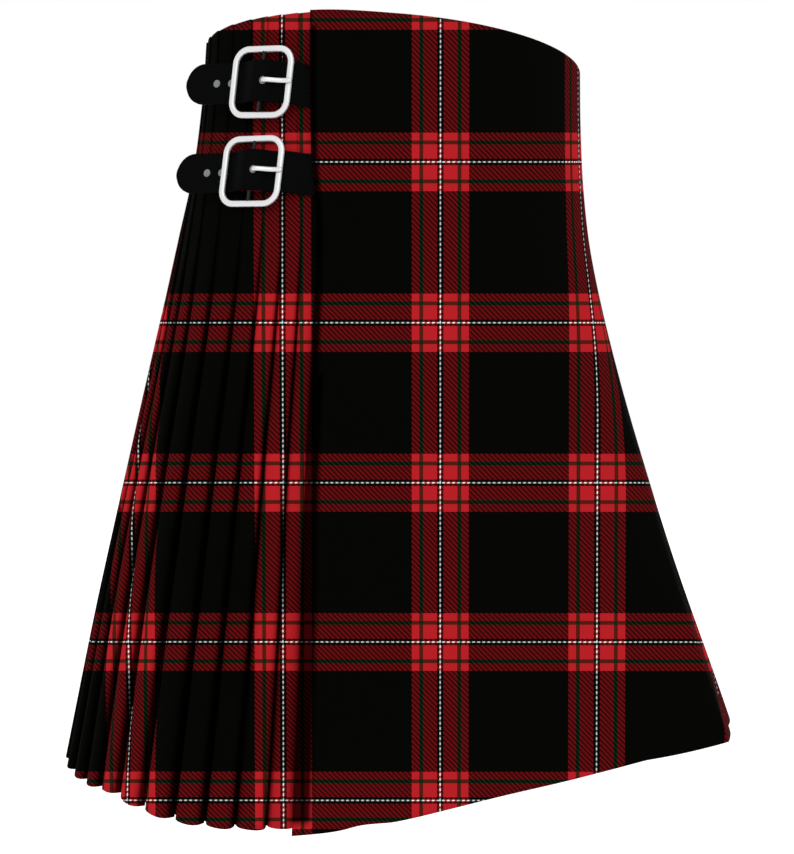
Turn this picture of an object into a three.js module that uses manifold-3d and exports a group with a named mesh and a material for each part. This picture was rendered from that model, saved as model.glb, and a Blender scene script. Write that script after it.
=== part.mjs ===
// A scottish kilt, filled out as worn and empty: a flat outer apron over an inner apron, knife pleats
// all round the back, and two leather straps with centre-bar buckles at the wearer's right hip.
// Millimetres, +Z up. The wearer faces -Y, so the wearer's right is -X. The origin is on the axis of
// the waist at the height of the upper strap. An arc is a distance round the form from the centre
// front, positive towards the wearer's right, and an offset is a distance out of the form.
import * as THREE from "three";
import { mergeVertices } from "three/addons/utils/BufferGeometryUtils.js";
import Module from "manifold-3d";

// The form, a row for each level. half_width, front and back are its reaches along X, -Y and +Y, and a
// power of 2 is an ellipse, a higher one squarer. free_edge is the arc where the pleats start, and join
// the outer apron's end at the wearer's left. saw is how far a pleat's fold stands over its neighbour,
// stand is how far the apron's free edge stands off the pleats, and corner is how far the crease at the
// wearer's left stands out.
const COLUMNS = ["height", "half_width", "front", "back", "front_power", "back_power",
  "free_edge", "join", "saw", "stand", "corner"];
const FORM = [
  [50, 186, 141, 130, 2.0, 2.0, 162, 178, 3.6, 4.8, 0],
  [0, 188, 140, 144, 2.0, 2.0, 162, 180, 3.6, 4.8, 0],
  [-60, 194, 139, 163, 2.0, 2.0, 161, 184, 3.6, 4.8, 0],
  [-120, 204, 143, 183, 2.0, 2.1, 160, 192, 3.8, 4.8, 0.5],
  [-200, 220, 150, 196, 2.2, 2.2, 168, 208, 5.0, 5.5, 2.5],
  [-300, 244, 164, 197, 2.5, 2.3, 184, 232, 7.0, 7.5, 6],
  [-430, 275, 185, 199, 3.1, 2.4, 205, 260, 9.0, 10.0, 11],
  [-560, 304, 207, 204, 4.2, 2.4, 229, 292, 11.0, 14.0, 17.5],
].map((row) => Object.fromEntries(COLUMNS.map((name, column) => [name, row[column]])));

// Cloth.
const CLOTH = 1.0;
const SEAM_GAP = 0.3;
const PLY = 1.6; // from one layer of a fold to the next, middle to middle
const APRON_COLUMNS = 36;
const APRON_ROLL = 70; // the free edge lifts off over this arc
const EDGE_LEAN = 0.85; // how far the free edge laps on round, as a share of its rise in stand
const CREASE = { front: 0.38, tip: 0.7, back: 0.86 }; // the crease's foot, tip and foot, as shares of join
const CREASE_COLUMNS = 10; // of the apron's columns, those from the join to the crease's tip
const INNER_SHORT = 25; // the inner apron ends this far short of the outer apron's join
const INNER_OFFSET = -2.6; // the inner apron and the first pleat run this far in

// Pleats. The widths are shares of the even width, from the apron's free edge round to the back.
const PLEATS = 40;
const FIRST_WIDTHS = [0.66, 0.77, 0.8, 0.93, 1.22, 1.28, 1.12, 1.0];
const UNEVEN = 0.05;
const UNEVEN_TURN = 2.3;
const LAP = 10; // how far a face runs on under the next fold
const TUCK = 18; // how far the pleats start under the apron

// Straps and buckles: arc is the buckle's place and height its middle, and its tail points up by tilt
// degrees.
const FASTENINGS = [
  { name: "upper", arc: 201.5, height: -4.4, tilt: 5.5 },
  { name: "lower", arc: 209.5, height: -76.4, tilt: 3.5 },
];
const FRAME_SPAN = 20; // each way from the buckle's middle, for the way that the form lies there
const FRAME_LENGTH = 56;
const FRAME_HEIGHT = 58;
const FRAME_CORNER = 14;
const SIDE_BAR = 5.4;
const END_BAR = 4.6;
const FRAME_THICK = 3.2;
const FRAME_OUT = 5.6; // from the form to the middle of the frame
const CENTRE_BAR_R = 1.4;
const STRAP_WIDTH = 33;
const STRAP_THICK = 2.2;
const STRAP_CLEAR = 0.3;
const STRAP_TUCK = 12; // how far the strap is sewn under the apron
const STRAP_ROOT_OUT = 1.9; // from the form to the middle of its sewn end
const ROOT_LEVEL = 2; // the strap lies flat for this far past its tuck
const TAIL = 45; // past the frame's outer side
const STRAP_STEP = 3;
const TIP_LEFT = 0.01; // the round tip stops this share of its radius short, so that it isn't a point
const HUMP_TOP = 3.5; // the strap is level for this far each way over the centre bar
const HUMP_STEPS = 10;
const HOLES = [-4.6, 29.4, 43.4]; // from the centre bar, the first one holds the prong
const HOLE_R = 2.7;
const PRONG_THICK = 2.2;
const PRONG_WIDE = 3.6;
const PRONG_OVER = 1.6; // past the frame's side bar
const CHAPE_PLY = 1.2;
const CHAPE_SLAB = 1.6;
const CHAPE_WIDTH = 28;
const CHAPE_LENGTH = 34;
const CHAPE_SLOT = 5;
const CHAPE_OUT = 2.2; // from the form to the middle of the sewn end
const CHAPE_STATIONS = 8;
const CHAPE_RISE = 12; // it rises to the centre bar over this arc
const OVERCUT = 2;
const ROUND_STEPS = 14;
const CORNER_STEPS = 5;
const WELD = 1e-4;

const wasm = await Module();
wasm.setup();

// ---- The form ----

const RING_SAMPLES = 720;

// The form's measures at any height, on straight lines between the rows.
function level(height) {
  let k = 0;
  while (k < FORM.length - 2 && FORM[k + 1].height > height) k += 1;
  const upper = FORM[k];
  const lower = FORM[k + 1];
  const share = (upper.height - height) / (upper.height - lower.height);
  const between = (name) => THREE.MathUtils.lerp(upper[name], lower[name], share);
  return Object.fromEntries(COLUMNS.map((name) => [name, between(name)]));
}

// A point of the outline at an angle from the centre front, positive towards the wearer's right.
function outline(row, angle) {
  const across = Math.sin(angle);
  const ahead = Math.cos(angle);
  const depth = ahead > 0 ? row.front : row.back;
  const power = 2 / (ahead > 0 ? row.front_power : row.back_power);
  return new THREE.Vector2(
    -row.half_width * Math.sign(across) * Math.abs(across) ** power,
    -depth * Math.sign(ahead) * Math.abs(ahead) ** power,
  );
}

// One level's outline with its length measured from the centre front, both ways round.
function ringAt(height) {
  const row = level(height);
  const points = [];
  const arcs = [0];
  for (let k = 0; k <= RING_SAMPLES; k += 1) {
    points.push(outline(row, (k / RING_SAMPLES) * Math.PI * 2));
    if (k > 0) arcs.push(arcs[k - 1] + points[k].distanceTo(points[k - 1]));
  }
  return { row, height, points, arcs, around: arcs[RING_SAMPLES] };
}

// The plan point at an arc, moved out of the form by an offset.
function planAt(ring, arc, offset) {
  const wrapped = ((arc % ring.around) + ring.around) % ring.around;
  let low = 0;
  let high = RING_SAMPLES;
  while (high - low > 1) {
    const middle = (low + high) >> 1;
    if (ring.arcs[middle] <= wrapped) low = middle;
    else high = middle;
  }
  const share = (wrapped - ring.arcs[low]) / (ring.arcs[high] - ring.arcs[low]);
  const point = ring.points[low].clone().lerp(ring.points[high], share);
  const along = ring.points[high].clone().sub(ring.points[low]).normalize();
  return point.add(new THREE.Vector2(along.y, -along.x).multiplyScalar(-offset));
}

function formPoint(arc, height, offset) {
  const plan = planAt(ringAt(height), arc, offset);
  return new THREE.Vector3(plan.x, plan.y, height);
}

// ---- Walls ----

// A line of plan points moved sideways by a distance, with mitred corners.
function moved(line, distance) {
  return line.map((point, k) => {
    const before = line[Math.max(k - 1, 0)];
    const after = line[Math.min(k + 1, line.length - 1)];
    const first = (k > 0 ? point.clone().sub(before) : after.clone().sub(point)).normalize();
    const second = (k < line.length - 1 ? after.clone().sub(point) : first.clone()).normalize();
    const sideways = new THREE.Vector2(first.y + second.y, -(first.x + second.x));
    const mitre = sideways.multiplyScalar(distance / (1 + first.dot(second)));
    return point.clone().add(mitre);
  });
}

// A closed mesh from loops of points, each loop joined to the next and both ends closed. Each loop is
// a line out and the same number of points back, so an end is closed by a strip across it.
function closedStrip(loops, material) {
  const size = loops[0].length;
  const positions = loops.flat().flatMap((point) => [point.x, point.y, point.z]);
  const faces = [];
  for (let ring = 0; ring < loops.length - 1; ring += 1) {
    for (let k = 0; k < size; k += 1) {
      const a = ring * size + k;
      const b = ring * size + ((k + 1) % size);
      faces.push(a, b, b + size, a, b + size, a + size);
    }
  }
  const last = (loops.length - 1) * size;
  for (let k = 0; k < size / 2 - 1; k += 1) {
    const back = size - 1 - k;
    faces.push(k, back, back - 1, k, back - 1, k + 1);
    faces.push(last + k, last + back - 1, last + back, last + k, last + k + 1, last + back - 1);
  }
  const geometry = new THREE.BufferGeometry();
  geometry.setAttribute("position", new THREE.Float32BufferAttribute(positions, 3));
  geometry.setIndex(faces);
  return facingOut(geometry, material);
}

// Turns a closed mesh's faces round if they point in.
function facingOut(geometry, material) {
  const place = geometry.attributes.position;
  const index = geometry.index.array;
  const corner = (k) => new THREE.Vector3().fromBufferAttribute(place, index[k]);
  let volume = 0;
  for (let k = 0; k < index.length; k += 3) volume += corner(k).dot(corner(k + 1).cross(corner(k + 2)));
  if (volume < 0) geometry.setIndex(Array.from(index).reverse());
  geometry.computeVertexNormals();
  return new THREE.Mesh(geometry, material);
}

// A wall of cloth from its middle line at every level of the form.
function clothWall(lineAt, material) {
  const loops = FORM.map((row) => {
    const line = lineAt(ringAt(row.height));
    const near = moved(line, CLOTH / 2);
    const far = moved(line, -CLOTH / 2).reverse();
    return [...near, ...far].map((point) => new THREE.Vector3(point.x, point.y, row.height));
  });
  return closedStrip(loops, material);
}

// ---- Aprons ----

function apronLine(ring, from, to, columns, offsetAt) {
  return Array.from({ length: columns + 1 }, (_, k) => {
    const arc = THREE.MathUtils.lerp(from, to, k / columns);
    return planAt(ring, arc, offsetAt(arc));
  });
}

// The outer apron lies on the form from its join to its free edge, which stands off the pleats. At the
// wearer's left it is pressed into a crease that stands out of the form.
function outerApronLine(ring) {
  const { free_edge, join, stand, corner } = ring.row;
  const edge = free_edge + (stand - FORM[0].stand) * EDGE_LEAN;
  const tip = -join * CREASE.tip;
  const offsetAt = (arc) => {
    const foot = -join * (arc > tip ? CREASE.front : CREASE.back);
    const crease = corner * Math.max((arc - foot) / (tip - foot), 0);
    return crease + stand * THREE.MathUtils.smoothstep(arc, edge - APRON_ROLL, edge);
  };
  const side = apronLine(ring, -join, tip, CREASE_COLUMNS, offsetAt);
  const front = apronLine(ring, tip, edge, APRON_COLUMNS - CREASE_COLUMNS, offsetAt);
  return [...side, ...front.slice(1)];
}

// The inner apron runs a layer in, from the first pleat to short of the outer apron's join.
function innerApronLine(ring) {
  const { free_edge, join } = ring.row;
  const first = free_edge - TUCK - SEAM_GAP;
  return apronLine(ring, INNER_SHORT - join, first, APRON_COLUMNS, () => INNER_OFFSET);
}

// ---- Pleats ----

const WIDTHS = Array.from({ length: PLEATS }, (_, k) => {
  return FIRST_WIDTHS[k] ?? 1 + UNEVEN * Math.sin(k * UNEVEN_TURN);
});
const WIDTHS_SUM = WIDTHS.reduce((sum, width) => sum + width, 0);

// The saw-tooth of the pleats: each face slopes in from its fold and runs on under the next fold,
// where the cloth turns back, comes out to that fold and turns again.
function pleatLine(ring) {
  const { free_edge, join, saw } = ring.row;
  const end = ring.around - join - SEAM_GAP;
  const even = (end - free_edge) / WIDTHS_SUM;
  const line = [planAt(ring, free_edge - TUCK, INNER_OFFSET)];
  let fold = free_edge;
  WIDTHS.slice(0, -1).forEach((share) => {
    const width = share * even;
    fold += width;
    const under = -saw * (1 + LAP / width);
    line.push(planAt(ring, fold + LAP, under));
    line.push(planAt(ring, fold + LAP, under + PLY));
    line.push(planAt(ring, fold, -PLY));
    line.push(planAt(ring, fold, 0));
  });
  line.push(planAt(ring, end, 0));
  return line;
}

// ---- Straps and buckles ----

// A fastening's own axes at its place on the form: along the strap to its tail, up across it, and out.
function fasteningFrame({ arc, height, tilt }) {
  const centre = formPoint(arc, height, 0);
  const next = formPoint(arc + FRAME_SPAN, height, 0);
  const last = formPoint(arc - FRAME_SPAN, height, 0);
  const over = formPoint(arc, height + FRAME_SPAN, 0);
  const under = formPoint(arc, height - FRAME_SPAN, 0);
  const level = next.sub(last).normalize();
  const out = level.clone().cross(over.sub(under)).normalize();
  if (out.dot(new THREE.Vector3(centre.x, centre.y, 0)) < 0) out.negate();
  const upright = out.clone().cross(level).normalize();
  if (upright.z < 0) upright.negate();
  const turn = THREE.MathUtils.degToRad(tilt);
  const along = level.clone().multiplyScalar(Math.cos(turn)).addScaledVector(upright, Math.sin(turn));
  const up = upright.clone().multiplyScalar(Math.cos(turn)).addScaledVector(level, -Math.sin(turn));
  return { centre, along, up, out, turn };
}

// A point given along, up and out of a fastening.
function fastened(frame, along, up, out) {
  return frame.centre.clone().addScaledVector(frame.along, along)
    .addScaledVector(frame.up, up).addScaledVector(frame.out, out);
}

function asSolid(geometry) {
  const bare = geometry.clone();
  bare.deleteAttribute("normal");
  bare.deleteAttribute("uv");
  const merged = mergeVertices(bare, WELD);
  return new wasm.Manifold(new wasm.Mesh({
    numProp: 3,
    vertProperties: new Float32Array(merged.attributes.position.array),
    triVerts: new Uint32Array(merged.index.array),
  }));
}

function asMesh(solid, material) {
  const { vertProperties, triVerts } = solid.getMesh();
  const geometry = new THREE.BufferGeometry();
  geometry.setAttribute("position", new THREE.Float32BufferAttribute(vertProperties, 3));
  geometry.setIndex(Array.from(triVerts));
  return facingOut(geometry, material);
}

// Turns a shape drawn along and second, which is the fastening's up or out, into the fastening's place.
function turnedTo(frame, second, out = 0) {
  const turn = new THREE.Matrix4().makeBasis(frame.along, second, frame.along.clone().cross(second));
  return turn.setPosition(fastened(frame, 0, 0, out));
}

// An extrusion drawn along and out, centred on the strap's middle line, in the fastening's place.
function sideOn(frame, shape, width) {
  const settings = { depth: width, bevelEnabled: false, curveSegments: CORNER_STEPS };
  const geometry = new THREE.ExtrudeGeometry(shape, settings);
  geometry.translate(0, 0, -width / 2);
  return geometry.applyMatrix4(turnedTo(frame, frame.out));
}

// The strap's middle line: out from under the apron, under the frame's near side bar, over the centre
// bar, under the far one and straight on to its tip. Each station has a place, an up and an out.
function strapStations(frame, { arc, height }) {
  const root = level(height).free_edge - STRAP_TUCK;
  const barOut = FRAME_OUT - FRAME_THICK / 2 - STRAP_CLEAR - STRAP_THICK / 2;
  const overBar = FRAME_OUT + CENTRE_BAR_R + STRAP_CLEAR + CHAPE_PLY + STRAP_CLEAR + STRAP_THICK / 2;
  const bar = (FRAME_LENGTH - SIDE_BAR) / 2;
  const reach = arc - root;
  const rootHeight = height - reach * Math.sin(frame.turn);
  const start = formPoint(root, rootHeight, STRAP_ROOT_OUT);
  const edge = formPoint(root + STRAP_TUCK + ROOT_LEVEL, rootHeight, STRAP_ROOT_OUT);
  const humpFoot = bar - SIDE_BAR / 2 - STRAP_THICK / 2;
  const hump = Array.from({ length: HUMP_STEPS + 1 }, (_, k) => {
    const along = THREE.MathUtils.lerp(-humpFoot, humpFoot, k / HUMP_STEPS);
    const fall = THREE.MathUtils.smoothstep(Math.abs(along), HUMP_TOP, humpFoot);
    return fastened(frame, along, 0, THREE.MathUtils.lerp(overBar, barOut, fall));
  });
  const path = new THREE.CatmullRomCurve3([
    start,
    edge,
    fastened(frame, -bar - SIDE_BAR / 2, 0, barOut),
    ...hump,
    fastened(frame, bar + SIDE_BAR / 2, 0, barOut),
    fastened(frame, bar + TAIL / 2, 0, barOut),
    fastened(frame, bar + SIDE_BAR / 2 + TAIL, 0, barOut),
  ], false, "centripetal");
  const length = path.getLength();
  const steps = Math.round(length / STRAP_STEP);
  const tip = STRAP_WIDTH / 2;
  const rootUp = formPoint(root, height + tip, 0).sub(formPoint(root, height - tip, 0)).normalize();
  const places = Array.from({ length: steps }, (_, k) => (k / steps) * (length - tip));
  for (let k = 0; k < ROUND_STEPS / 2; k += 1) {
    places.push(length - tip + tip * Math.sin((k / (ROUND_STEPS / 2)) * (Math.PI / 2)));
  }
  places.push(length - tip * TIP_LEFT);
  return places.map((place) => {
    const share = place / length;
    const point = path.getPointAt(share);
    const tangent = path.getTangentAt(share);
    const turned = THREE.MathUtils.smoothstep(place, 0, reach - bar);
    const up = rootUp.clone().lerp(frame.up, turned);
    up.addScaledVector(tangent, -up.dot(tangent)).normalize();
    const out = tangent.clone().cross(up).normalize();
    if (out.dot(frame.out) < 0) out.negate();
    const past = Math.max(place - (length - tip), 0);
    const half = Math.sqrt(tip ** 2 - past ** 2);
    return { point, up, out, half };
  });
}

function strap(frame, fastening, material) {
  const loops = strapStations(frame, fastening).map(({ point, up, out, half }) => {
    const corner = (side, layer) => point.clone().addScaledVector(up, side * half)
      .addScaledVector(out, (layer * STRAP_THICK) / 2);
    return [corner(1, 1), corner(-1, 1), corner(-1, -1), corner(1, -1)];
  });
  const cut = HOLES.map((along) => {
    const punch = new THREE.CylinderGeometry(HOLE_R, HOLE_R, FRAME_LENGTH, ROUND_STEPS);
    punch.translate(along, 0, 0);
    return asSolid(punch.applyMatrix4(turnedTo(frame, frame.out, FRAME_OUT)));
  });
  const whole = asSolid(closedStrip(loops, material).geometry);
  return asMesh(cut.reduce((solid, hole) => solid.subtract(hole), whole), material);
}

// The frame is a flat rounded rectangle with a round bar across its middle.
function roundedRectangle(length, height, corner) {
  const x = length / 2;
  const y = height / 2;
  const shape = new THREE.Shape();
  shape.moveTo(x, corner - y);
  shape.absarc(x - corner, y - corner, corner, 0, Math.PI / 2, false);
  shape.absarc(corner - x, y - corner, corner, Math.PI / 2, Math.PI, false);
  shape.absarc(corner - x, corner - y, corner, Math.PI, Math.PI * 1.5, false);
  shape.absarc(x - corner, corner - y, corner, Math.PI * 1.5, Math.PI * 2, false);
  return shape;
}

function buckle(frame, material) {
  const rim = roundedRectangle(FRAME_LENGTH, FRAME_HEIGHT, FRAME_CORNER);
  const opening = roundedRectangle(FRAME_LENGTH - 2 * SIDE_BAR, FRAME_HEIGHT - 2 * END_BAR,
    FRAME_CORNER - SIDE_BAR);
  rim.holes.push(opening);
  const settings = { depth: FRAME_THICK, bevelEnabled: false, curveSegments: CORNER_STEPS };
  const ring = new THREE.ExtrudeGeometry(rim, settings);
  ring.translate(0, 0, -FRAME_THICK / 2);
  const bar = new THREE.CylinderGeometry(CENTRE_BAR_R, CENTRE_BAR_R, FRAME_HEIGHT - END_BAR, ROUND_STEPS);
  const turn = turnedTo(frame, frame.up, FRAME_OUT);
  const solids = [ring, bar].map((geometry) => asSolid(geometry.applyMatrix4(turn)));
  return asMesh(solids[0].add(solids[1]), material);
}

// The prong is a ring on the centre bar with an arm up through the strap's hole and out over the near
// side bar. It is drawn along and out.
function prong(frame, material) {
  const ringIn = CENTRE_BAR_R + SEAM_GAP;
  const ringOut = ringIn + CHAPE_PLY;
  const top = FRAME_OUT + FRAME_THICK / 2 + SEAM_GAP;
  const end = -(FRAME_LENGTH / 2 + PRONG_OVER);
  const hole = HOLES[0];
  const crest = FRAME_OUT + CENTRE_BAR_R + CHAPE_PLY + STRAP_THICK + 3 * STRAP_CLEAR;
  const near = hole - PRONG_THICK / 2;
  const far = hole + PRONG_THICK / 2;
  const arm = new THREE.Shape();
  arm.moveTo(-ringIn, FRAME_OUT - PRONG_THICK / 2);
  arm.lineTo(-ringIn, FRAME_OUT + PRONG_THICK / 2);
  arm.lineTo(far, FRAME_OUT + PRONG_THICK / 2);
  arm.lineTo(far, crest + PRONG_THICK / 2);
  arm.lineTo(near, crest + PRONG_THICK);
  arm.lineTo(end + PRONG_THICK, top + PRONG_THICK);
  arm.lineTo(end, top + PRONG_THICK / 2);
  arm.lineTo(end, top);
  arm.lineTo(end + SIDE_BAR + PRONG_OVER, top);
  arm.lineTo(near, crest);
  arm.lineTo(near, FRAME_OUT - PRONG_THICK / 2);
  const eye = new THREE.Shape();
  eye.absarc(0, FRAME_OUT, ringOut, 0, Math.PI * 2, false);
  const bore = new THREE.Shape();
  bore.absarc(0, FRAME_OUT, ringIn, 0, Math.PI * 2, false);
  const parts = [arm, eye].map((shape) => asSolid(sideOn(frame, shape, PRONG_WIDE)));
  const hollow = asSolid(sideOn(frame, bore, PRONG_WIDE + OVERCUT));
  return asMesh(parts[0].add(parts[1]).subtract(hollow), material);
}

// The chape is a leather loop round the centre bar, slotted for the prong, and sewn flat to the pleats
// behind it.
function chape(frame, fastening, material) {
  const ringIn = CENTRE_BAR_R + SEAM_GAP;
  const ringOut = ringIn + CHAPE_PLY;
  const loop = new THREE.Shape();
  loop.absarc(0, FRAME_OUT, ringOut, 0, Math.PI * 2, false);
  const bore = new THREE.Shape();
  bore.absarc(0, FRAME_OUT, ringIn, 0, Math.PI * 2, false);
  const sunk = FRAME_OUT - ringIn - CHAPE_PLY / 2;
  const loops = Array.from({ length: CHAPE_STATIONS + 1 }, (_, k) => {
    const along = (k / CHAPE_STATIONS) * CHAPE_LENGTH;
    const lift = sunk * (1 - THREE.MathUtils.smoothstep(along, 0, CHAPE_RISE));
    const rise = along * Math.sin(frame.turn);
    const middle = formPoint(fastening.arc + along, fastening.height + rise, CHAPE_OUT);
    middle.addScaledVector(frame.out, Math.max(lift - CHAPE_OUT, 0));
    const corner = (side, layer) => middle.clone().addScaledVector(frame.up, (side * CHAPE_WIDTH) / 2)
      .addScaledVector(frame.out, (layer * CHAPE_SLAB) / 2);
    return [corner(1, 1), corner(-1, 1), corner(-1, -1), corner(1, -1)];
  });
  const slab = asSolid(closedStrip(loops, material).geometry);
  const cylinder = asSolid(sideOn(frame, loop, CHAPE_WIDTH));
  const hollow = asSolid(sideOn(frame, bore, CHAPE_WIDTH + OVERCUT));
  const clear = 2 * (ringOut + OVERCUT);
  const slot = new THREE.BoxGeometry(clear, CHAPE_SLOT, clear);
  const opening = asSolid(slot.applyMatrix4(turnedTo(frame, frame.up, FRAME_OUT)));
  return asMesh(slab.add(cylinder).subtract(hollow).subtract(opening), material);
}

// ---- The kilt ----

const cloth = new THREE.MeshStandardMaterial({ color: 0x3a1012, roughness: 0.9, metalness: 0 });
const innerCloth = new THREE.MeshStandardMaterial({ color: 0x2a0c0e, roughness: 0.9, metalness: 0 });
const pleatCloth = new THREE.MeshStandardMaterial({ color: 0x461416, roughness: 0.9, metalness: 0 });
const leather = new THREE.MeshStandardMaterial({ color: 0x0a0a0a, roughness: 0.5, metalness: 0 });
const metal = new THREE.MeshStandardMaterial({ color: 0xe0e1e3, roughness: 0.25, metalness: 1 });

const kilt = new THREE.Group();

function addPiece(name, mesh) {
  mesh.name = name;
  kilt.add(mesh);
}

addPiece("outer_apron", clothWall(outerApronLine, cloth));
addPiece("inner_apron", clothWall(innerApronLine, innerCloth));
addPiece("pleated_back", clothWall(pleatLine, pleatCloth));

FASTENINGS.forEach((fastening) => {
  const frame = fasteningFrame(fastening);
  addPiece(`${fastening.name}_strap`, strap(frame, fastening, leather));
  addPiece(`${fastening.name}_buckle`, buckle(frame, metal));
  addPiece(`${fastening.name}_prong`, prong(frame, metal));
  addPiece(`${fastening.name}_chape`, chape(frame, fastening, leather));
});

export default kilt;
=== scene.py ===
"""A scottish kilt, filled out as worn and empty, with its straps buckled at the wearer's right hip.

The wearer faces -Y, so the wearer's right is -X. Lengths are worked out in millimetres and become
metres as each mesh is finished. An arc is a distance round the form from the centre front, positive
towards the wearer's right, and an offset is a distance out of the form.
"""

import bisect
import math

import bmesh
import bpy
from mathutils import Matrix, Vector


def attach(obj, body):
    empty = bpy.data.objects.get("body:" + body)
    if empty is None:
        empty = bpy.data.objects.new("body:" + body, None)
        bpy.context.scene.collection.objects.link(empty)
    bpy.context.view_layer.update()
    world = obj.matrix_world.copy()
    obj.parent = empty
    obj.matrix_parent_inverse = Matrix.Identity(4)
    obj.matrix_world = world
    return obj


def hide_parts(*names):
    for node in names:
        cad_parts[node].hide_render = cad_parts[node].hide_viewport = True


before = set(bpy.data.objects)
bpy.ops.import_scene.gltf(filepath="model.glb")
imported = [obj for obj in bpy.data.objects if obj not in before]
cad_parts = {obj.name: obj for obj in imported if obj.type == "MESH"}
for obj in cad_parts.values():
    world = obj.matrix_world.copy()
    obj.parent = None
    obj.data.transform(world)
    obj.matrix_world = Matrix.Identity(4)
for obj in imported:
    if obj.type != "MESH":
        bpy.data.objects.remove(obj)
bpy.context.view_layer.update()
MM = 0.001


# ---- Outer apron ----
# The flat front of the kilt, one width of worsted tartan in a 2/2 twill. It lies over the inner
# apron, and its free edge stands a little off the pleats. It is cut with the selvedge as its hem.

COLUMNS = (
    "height", "half_width", "front", "back", "front_power", "back_power",
    "free_edge", "join", "saw", "stand", "corner",
)
FORM = [
    dict(zip(COLUMNS, row))
    for row in (
        (50, 186, 141, 130, 2.0, 2.0, 162, 178, 1.3, 4.8, 0),
        (0, 188, 140, 144, 2.0, 2.0, 162, 180, 1.3, 4.8, 0),
        (-60, 194, 139, 163, 2.0, 2.0, 161, 184, 1.3, 4.8, 0),
        (-120, 204, 143, 183, 2.0, 2.1, 160, 192, 1.7, 4.8, 0.5),
        (-200, 220, 150, 196, 2.2, 2.2, 168, 208, 4.6, 5.5, 2.5),
        (-300, 244, 164, 197, 2.5, 2.3, 184, 232, 6.8, 7.5, 6),
        (-430, 275, 185, 199, 3.1, 2.4, 205, 260, 9.0, 10.0, 11),
        (-560, 304, 207, 204, 4.2, 2.4, 229, 292, 11.0, 14.0, 17.5),
    )
]
TOP = FORM[0]["height"]
HEM = FORM[-1]["height"]
RING_SAMPLES = 720
CLOTH = 0.8

# The weaver's chart for half a sett, outwards from its one white thread: the colour, its threads, its
# dye, and how much of a thread still shows as it crosses a dark one.
THREADS = (
    ("white", 1, (0.80, 0.84, 0.80), 0.66),
    ("black", 2, (0.0016, 0.0016, 0.0012), 1.0),
    ("red", 11, (0.405, 0.0122, 0.0170), 0.32),
    ("green", 3, (0.0045, 0.0170, 0.0050), 1.0),
    ("red", 6, (0.405, 0.0122, 0.0170), 0.32),
    ("black", 39, (0.0016, 0.0016, 0.0012), 1.0),
)
HALF_SETT = 62
SETT = 118.0
THREAD = SETT / (2 * HALF_SETT)
GRIN = 0.05  # how much the thread underneath grins through

# The tartan's lines run level and upright as seen from the wearer's right front.
EYE_TURN = math.radians(36)
EYE_AWAY = 1100.0
EYE_HEIGHT = -262.0
PATTERN_AWAY = 887.0  # a length at this distance keeps its size across
PATTERN_UP = 0.9475
PATTERN_NEAR = 920.0
LEAST_STRETCH = 0.5
HIDDEN_STRETCH = 0.92
PLUMB_HEIGHT = -250
PLUMB_TURN = 0.55  # how far a pleat faces away before its lines run straight down it
WHITE_CROSS = (30.8, 60.5)  # where two white lines meet

# How far the hem hangs above the form's lowest level at each arc.
HEM_LIFT = (
    (-300, -1), (-204, -2.5), (-110, -4), (0, -3), (150, -2), (190, 1.5), (235, 5), (300, 6.5),
    (400, 6), (460, 0),
)


def ease(share):
    share = min(max(share, 0.0), 1.0)
    return share * share * (3 - 2 * share)


def level(height):
    """The form's measures at a height, on a smooth curve through the rows."""
    k = 0
    while k < len(FORM) - 2 and FORM[k + 1]["height"] > height:
        k += 1
    upper, lower = FORM[k], FORM[k + 1]
    before, after = FORM[max(k - 1, 0)], FORM[min(k + 2, len(FORM) - 1)]
    drop = upper["height"] - lower["height"]
    t = (upper["height"] - height) / drop
    found = {"height": height}
    for name in COLUMNS[1:]:
        start = (lower[name] - before[name]) / (before["height"] - lower["height"]) * drop
        end = (after[name] - upper[name]) / (upper["height"] - after["height"]) * drop
        found[name] = (
            (2 * t**3 - 3 * t**2 + 1) * upper[name] + (t**3 - 2 * t**2 + t) * start
            + (3 * t**2 - 2 * t**3) * lower[name] + (t**3 - t**2) * end
        )
    return found


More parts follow.
